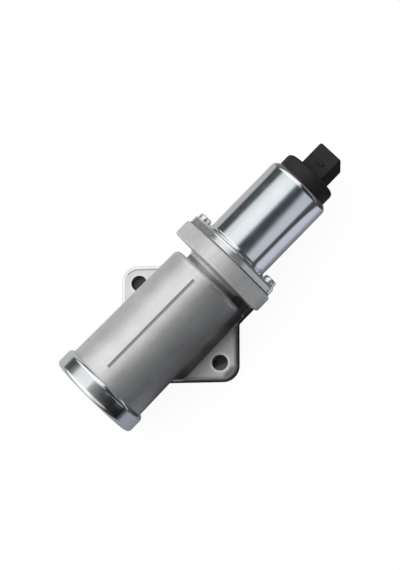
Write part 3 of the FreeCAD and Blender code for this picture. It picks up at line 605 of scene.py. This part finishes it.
# The end of a sheet wall rolled inwards by a lean, from the outside round to the inside
def rolledLip(shape, lipEnd):
    lean = shape["lean"]
    inner = shape["radius"] - shape["sheet"]
    bend = lipEnd - (shape["radius"] - shape["lipRadius"]) / math.tan(lean)
    inside = bend - shape["sheet"] * math.tan(lean / 2)
    lipInside = inside + (inner - shape["lipRadius"]) / math.tan(lean)
    return [
        (bend, shape["radius"], shape["bendRound"]),
        (lipEnd, shape["lipRadius"], shape["lipRound"]),
        (lipInside, shape["lipRadius"], shape["lipInnerRound"]),
        (inside, inner, 0),
    ]


# Solenoid can: deep-drawn cup, foot flared out on the plate, rim rolled in on the moulding
can = {"radius": 15.15 * mm, "sheet": 1.2 * mm, "lean": math.radians(50), "bendRound": 2.4 * mm,
       "lipRadius": 12.78 * mm, "lipRound": 0.4 * mm, "lipInnerRound": 0.1 * mm, "length": 41.05 * mm,
       "mouthRound": 0.3 * mm, "footWidth": 1.0 * mm, "footEdge": 0.7 * mm, "footHeight": 1.3 * mm,
       "footLowRound": 0.2 * mm, "footTopRound": 0.3 * mm, "footFillet": 1.0 * mm}


def makeCan():
    foot = canBox[0][0]
    footRadius = can["radius"] + can["footWidth"]
    turned("canShell", [
        (foot, can["radius"] - can["sheet"], can["mouthRound"]),
        (foot, footRadius, can["footLowRound"]),
        (foot + can["footEdge"], footRadius, can["footTopRound"]),
        (foot + can["footHeight"], can["radius"], can["footFillet"]),
    ] + rolledLip(can, foot + can["length"]), "solenoid_can")


# End cap: pressed cup with a shallow dish in its face, its wall rolled in over the collar
cap = {"radius": 21.4 * mm, "sheet": 1.2 * mm, "lean": math.radians(45), "bendRound": 1.8 * mm,
       "lipRadius": 19.85 * mm, "lipRound": 0.3 * mm, "lipInnerRound": 0.1 * mm, "length": 9.37 * mm,
       "faceRound": 2.0 * mm, "dishRadius": 12.0 * mm, "dishDepth": 0.7 * mm, "dishLowRound": 0.5 * mm,
       "dishTopRound": 0.3 * mm}


def makeCap():
    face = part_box("end_cap")[0][0]
    floor = face + cap["sheet"]
    dish = cap["dishDepth"]
    turned("capShell", [
        (face + dish, 0, 0),
        (face + dish, cap["dishRadius"] - dish, cap["dishLowRound"]),
        (face, cap["dishRadius"], cap["dishTopRound"]),
        (face, cap["radius"], cap["faceRound"]),
    ] + rolledLip(cap, face + cap["length"]) + [
        (floor, cap["radius"] - cap["sheet"], 0),
        (floor, 0, 0),
    ], "end_cap")


makeCan()
makeCap()
print("can and end cap made")


# Screws of the solenoid plate: a turned pan head and a cross recess that narrows downwards, set in
# both ears, each stopped at its own turn. The recess's wide end lies in the plane of the head's top,
# which the default solver doesn't cut cleanly: faces stay over the cross. The exact solver does.
def screwTree():
    inputs = [("Round Steps", "Int"), ("Segments", "Int"), ("First Place", "Vector"), ("Pitch", "Vector"),
              ("Head Top", "Float"), ("Recess Size", "Vector"), ("Recess Taper", "Float"),
              ("Seed", "Int"), ("Finish", "Material")]
    graph, given = growTree("crossScrews", inputs)
    headTop = graph.join(given["Head Top"], 0, 0)
    corner = math.sqrt(0.5)  # from the middle of a unit square to its corners
    head = sweptRound(graph, given)
    cut = graph.node("GeometryNodeMeshBoolean", {"operation": "DIFFERENCE"}, {"Mesh 1": head})
    for turn in (math.pi / 4, math.pi * 3 / 4):
        wing = graph.node("GeometryNodeMeshCone", {}, {
            "Vertices": 4, "Radius Top": given["Recess Taper"] * corner, "Radius Bottom": corner,
            "Depth": 1.0})
        wing = graph.changed(wing, "Rotation", (0, 0, math.pi / 4))
        wing = graph.changed(wing, "Scale", given["Recess Size"])
        wing = graph.changed(wing, "Rotation", (0, -math.pi / 2, 0))
        wing = graph.changed(graph.changed(wing, "Rotation", (turn, 0, 0)), "Translation", headTop)
        graph.tree.links.new(wing.socket, cut.socket.node.inputs["Mesh 2"])
    places = graph.node("GeometryNodeMeshLine", {}, {
        "Count": 2, "Start Location": given["First Place"], "Offset": given["Pitch"]})
    turns = graph.node("FunctionNodeRandomValue", {"data_type": "FLOAT_VECTOR"}, {
        "Min": (0, 0, 0), "Max": (math.pi, 0, 0), "Seed": given["Seed"]})
    both = graph.node("GeometryNodeInstanceOnPoints", {}, {
        "Points": places, "Instance": cut, "Rotation": turns})
    return endTree(graph, both, given["Finish"])


screw = {"length": 12.0 * mm, "radius": 1.75 * mm, "tipRound": 0.5 * mm, "headRadius": 3.1 * mm,
         "headHeight": 2.5 * mm, "headRound": 1.1 * mm, "seatRound": 0.2 * mm, "wingLength": 3.9 * mm,
         "wingWidth": 0.9 * mm, "wingDepth": 1.5 * mm, "wingTaper": 0.35, "seed": 4, "roundSteps": 8,
         "segments": 64}


def makeScrews():
    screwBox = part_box("plate_screws")
    seat = screwBox[1][0] - screw["headHeight"]
    reach = screwBox[1][1] - screw["headRadius"]
    maker = profileMaker("plateScrews", [
        (-screw["length"], 0, 0),
        (-screw["length"], screw["radius"], screw["tipRound"]),
        (0, screw["radius"], screw["seatRound"]),
        (0, screw["headRadius"], screw["seatRound"]),
        (screw["headHeight"], screw["headRadius"], screw["headRound"]),
        (screw["headHeight"], 0, 0),
    ])
    values = {"Round Steps": screw["roundSteps"], "Segments": screw["segments"],
              "First Place": (seat, -reach, axisHeight), "Pitch": (0, 2 * reach, 0),
              "Head Top": screw["headHeight"], "Recess Taper": screw["wingTaper"],
              "Recess Size": (screw["wingLength"], screw["wingWidth"], screw["wingDepth"]),
              "Seed": screw["seed"], "Finish": finishes[slotOf["plate_screws"]]}
    mesh = facedOut(grow(maker, screwTree(), values))
    standFor(newPiece("plateScrews", mesh), "plate_screws")


# Return spring: closed end turns, ground flat
def springTree():
    inputs = [("Length", "Float"), ("Mean Radius", "Float"), ("Wire", "Float"), ("Turns", "Float"),
              ("Closed Turns", "Float"), ("Points", "Int"), ("Points Round Wire", "Int"), ("Seat", "Vector"),
              ("Finish", "Material")]
    graph, given = growTree("woundSpring", inputs)
    line = graph.node("GeometryNodeCurvePrimitiveLine")
    line = graph.node("GeometryNodeResampleCurve", {}, {"Curve": line, "Count": given["Points"]})
    turn = graph.node("GeometryNodeSplineParameter") * given["Turns"]
    wire = given["Wire"]
    radius = given["Mean Radius"]
    closed = given["Closed Turns"]
    openTurns = given["Turns"] - closed * 2.0
    opened = (turn - closed).atLeast(0.0).atMost(openTurns)
    openPitch = (given["Length"] + wire - wire * closed * 2.0) / openTurns
    along = (turn - opened) * wire + opened * openPitch - wire * 0.5
    angle = turn * (2 * math.pi)
    wound = graph.join(along, angle.maths("COSINE") * radius, angle.maths("SINE") * radius)
    line = graph.node("GeometryNodeSetPosition", {}, {"Geometry": line, "Position": wound})
    section = graph.node("GeometryNodeCurvePrimitiveCircle", {}, {
        "Resolution": given["Points Round Wire"], "Radius": wire * 0.5})
    coil = graph.node("GeometryNodeCurveToMesh", {}, {
        "Curve": line, "Profile Curve": section, "Fill Caps": True})
    spot = graph.split(graph.node("GeometryNodeInputPosition"))
    ground = spot.of("X").atLeast(0.0).atMost(given["Length"])
    flat = graph.join(ground, spot.of("Y"), spot.of("Z"))
    coil = graph.node("GeometryNodeSetPosition", {}, {"Geometry": coil, "Position": flat})
    return endTree(graph, graph.changed(coil, "Translation", given["Seat"]), given["Finish"])


# Its travel is a little more than the plunger's, so that its end stays clear of the spring cup
spring = {"wire": 1.1 * mm, "meanRadius": 5.1 * mm, "turns": 8.0, "closedTurns": 1.0, "travel": 5.52 * mm,
          "points": 400, "pointsRoundWire": 16}


def makeSpring():
    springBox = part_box("return_spring")
    seat = springBox[0][0]
    length = springBox[1][0] - seat
    maker = newPiece("returnCoilMaker", bpy.data.meshes.new("returnCoilSeed"))
    values = {"Length": length, "Mean Radius": spring["meanRadius"], "Wire": spring["wire"],
              "Turns": spring["turns"], "Closed Turns": spring["closedTurns"], "Points": spring["points"],
              "Points Round Wire": spring["pointsRoundWire"], "Seat": (seat, 0, axisHeight),
              "Finish": finishes[slotOf["return_spring"]]}
    mesh = facedOut(grow(maker, springTree(), values))
    coil = standFor(newPiece("returnCoil", mesh), "return_spring")
    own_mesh(coil)


makeScrews()
makeSpring()
print("screws and spring made")


# The studio is a set of long soft panels that run along the valve axis. The dark panel's far edge
# leans, so its reflection in the can is a wedge.
studio = {"white": 1.0, "wedgeLean": 5.0, "wedgePivot": 0.111,
          "wedgeStart": (math.radians(14), math.radians(32)),
          "wedgeStop": (math.radians(76), math.radians(52)),
          "plugFar": (0.12, 0.24), "capFar": (-0.12, -0.24), "halves": (-0.03, 0.03)}
# Degrees round the valve axis from straight up towards -Y, and the colour of the studio there:
# towards the plug end, towards the cap end, and far along the axis either way
plugBands = [(-94, 0.07), (-68, (0.068, 0.085, 0.085)), (-56, (0.74, 0.80, 0.81)),
             (-34, (0.93, 0.98, 1.0)), (-22, (0.98, 1.0, 1.0)), (-5, (0.90, 0.96, 0.99)),
             (1, (0.66, 0.73, 0.77)), (7, (0.16, 0.19, 0.20)), (13, (0.05, 0.062, 0.072)),
             (38, (0.045, 0.06, 0.07)), (47, (0.60, 0.64, 0.69)), (78, (0.58, 0.61, 0.68)),
             (84, (0.08, 0.09, 0.11)), (94, 0.08)]
capBands = [(-94, 0.09), (-85, 0.07), (-76, 0.12), (-66, 0.30), (-57, 0.78), (-49, 0.92), (-14, 0.98),
            (-8, 0.42), (2, 0.24), (12, 0.17), (24, 0.07), (40, 0.03), (52, 0.012), (94, 0.012)]
plugFar = [(-94, 0.5), (-80, 0.9), (-60, 1.2), (-12, 1.2), (6, 0.9), (17, 0.3), (26, 0.04), (45, 0.04),
           (60, 0.06), (94, 0.06)]
capFar = [(-94, 0.9), (-88, 1.0), (-60, 1.25), (-12, 1.25), (0, 1.1), (14, 0.8), (45, 0.6), (58, 0.06),
          (94, 0.01)]


def studioWorld():
    world = bpy.data.worlds.new("studio")
    bpy.context.scene.world = world
    world.use_nodes = True
    graph = Graph(world.node_tree)
    split = graph.split(graph.node("ShaderNodeTexCoord").of("Generated"))
    along = split.of("X")
    angle = (split.of("Y") * -1.0).maths("ARCTAN2", split.of("Z"))
    wedge = graph.between(angle, *studio["wedgeStart"]) * graph.between(angle, *studio["wedgeStop"])
    leaned = angle + (along - studio["wedgePivot"]) * wedge * studio["wedgeLean"]
    share, leanedShare = [turned / (2 * math.pi) + 0.5 for turned in (angle, leaned)]
    panels = ((leanedShare, plugBands), (share, capBands), (share, plugFar), (share, capFar))
    plugSide, capSide, plugEnd, capEnd = [
        graph.ramp(where, [(turn / 360 + 0.5, level) for turn, level in bands]) for where, bands in panels]
    plugHalf = graph.mixColour(graph.between(along, *studio["plugFar"]), plugSide, plugEnd)
    capHalf = graph.mixColour(graph.between(along, *studio["capFar"]), capSide, capEnd)
    around = graph.mixColour(graph.between(along, *studio["halves"]), capHalf, plugHalf)
    seen = graph.node("ShaderNodeLightPath").of("Is Camera Ray")
    glow = graph.mixColour(seen, around, (1, 1, 1))
    light = graph.node("ShaderNodeBackground", {}, {"Color": glow, "Strength": studio["white"]})
    graph.node("ShaderNodeOutputWorld", {}, {"Surface": light})


# The pale floor is seen nearly white. Through the bolt holes it has a painted shadow, with a little
# painted light in the near hole's low side. Where only the metal sees it, it is cool on the near side and
# dim in parts: beside the valve as a painted shadow of it, and far out as dark bands. A fade gives two
# places, then the levels there if they aren't 0 and 1: the first five go across the valve, the next five
# along it.
sheet = {
    "size": 3.0, "drop": 0.05 * mm, "glow": 0.86, "glowStrength": 1.08,
    "pale": (0.92, 0.92, 0.92), "cool": (0.87, 0.88, 0.99), "paintedShadowAndBands": (0.08, 0.08, 0.08),
    "leftEnd": (0.13, 0.32, 1.0, 0.1), "rightEnd": (-0.40, -0.08, 0.1, 1.0), "farSide": (-0.02, 0.0),
    "middle": (-0.02, 0.02), "nearStrip": (-0.045, -0.03, 1.0, 0.6),
    "plugStart": (0.026, 0.042, 0.06, 1.0), "plugStop": (0.082, 0.09, 1.0, 0.03),
    "plugBeyond": (0.12, 0.2, 0.0, 1.8), "plugDim": (0.084, 0.104, 1.0, 0.25),
    "capStart": (-0.025, -0.036, 0.0, 0.5), "farLevel": 0.75,
    "holeRadius": 4.2 * mm, "holeEdge": 0.1 * mm, "nearHoleShadow": (0.11, 0.11, 0.11),
    "farHoleShadow": (0.30, 0.30, 0.30), "holePaintedLight": 0.05, "holeLean": 0.4, "holeLow": (-0.0245, -0.0265),
}


def studioFloor():
    size, low = sheet["size"], -sheet["drop"]
    mesh = bpy.data.meshes.new("floor")
    corners = [(-size, -size, low), (size, -size, low), (size, size, low), (-size, size, low)]
    mesh.from_pydata(corners, [], [(0, 1, 2, 3)])
    floor = newPiece("floor", mesh)
    material = bpy.data.materials.new("floorSheet")
    material.use_nodes = True
    graph = Graph(material.node_tree)
    split = graph.split(graph.node("ShaderNodeTexCoord").of("Object"))
    along, across = split.of("X"), split.of("Y")
    seen = graph.node("ShaderNodeLightPath").of("Is Camera Ray")
    # For the metal, the floor beside the valve is dimmed as a painted shadow of it, and far out as dark bands
    plugEnd = graph.between(along, *sheet["plugStart"]) * graph.between(along, *sheet["plugStop"])
    plugEnd = plugEnd.atLeast(graph.between(along, *sheet["plugBeyond"]))
    plugEnd = plugEnd * graph.between(across, *sheet["nearStrip"])
    ends = plugEnd.atLeast(graph.between(along, *sheet["capStart"]))
    lit = graph.between(across, *sheet["middle"], ends, sheet["farLevel"])
    lit = lit * graph.between(across, *sheet["leftEnd"]) * graph.between(across, *sheet["rightEnd"])
    lit = lit * graph.between(along, *sheet["plugDim"])
    farSide = graph.between(across, *sheet["farSide"])
    paper = graph.mixColour(farSide.atLeast(seen), sheet["cool"], sheet["pale"])
    paper = graph.mixColour(seen.atLeast(lit), sheet["paintedShadowAndBands"], paper)
    # Painted shadow in the bolt holes, and a little painted light in the near one
    fromBolt = ((abs(across) - casting["boltReach"]) ** 2.0 + along * along) ** 0.5
    clear = graph.between(fromBolt, sheet["holeRadius"], sheet["holeRadius"] + sheet["holeEdge"])
    holeShadow = graph.mixColour(farSide, sheet["nearHoleShadow"], sheet["farHoleShadow"])
    holePaintedLight = graph.between(across + along * sheet["holeLean"], *sheet["holeLow"]) * sheet["holePaintedLight"]
    matt = graph.node("ShaderNodeBsdfDiffuse", {}, {"Color": graph.mixColour(clear, holeShadow, paper)})
    glow = graph.node("ShaderNodeEmission", {}, {"Color": (1, 1, 1, 1), "Strength": sheet["glowStrength"]})
    share = seen * graph.mix(clear, holePaintedLight, sheet["glow"])
    mixed = graph.node("ShaderNodeMixShader", {}, {0: share, 1: matt, 2: glow})
    graph.node("ShaderNodeOutputMaterial", {}, {"Surface": mixed})
    mesh.materials.append(material)


# The valve axis leans up to the right in the picture
cameraView = {"position": (3.7 * mm, -210 * mm, 867 * mm), "target": (17.9 * mm, 1 * mm, 23 * mm),
              "lens": 127.8, "sensor": 36, "clipStart": 10 * mm, "axisLean": math.radians(45.67)}


def placeCamera():
    data = bpy.data.cameras.new("camera")
    data.lens = cameraView["lens"]
    data.sensor_width = cameraView["sensor"]
    data.clip_start = cameraView["clipStart"]
    camera = newPiece("camera", data)
    back = (Vector(cameraView["position"]) - Vector(cameraView["target"])).normalized()
    along = Vector((1, 0, 0))
    along = (along - back * along.dot(back)).normalized()
    across = back.cross(along)
    lean = cameraView["axisLean"]
    right = along * math.cos(lean) - across * math.sin(lean)
    up = along * math.sin(lean) + across * math.cos(lean)
    turn = Matrix((right, up, back)).transposed().to_4x4()
    camera.matrix_world = Matrix.Translation(cameraView["position"]) @ turn
    bpy.context.scene.camera = camera


studioWorld()
studioFloor()
placeCamera()
bpy.context.scene.view_settings.view_transform = "Standard"
print("studio and camera set")
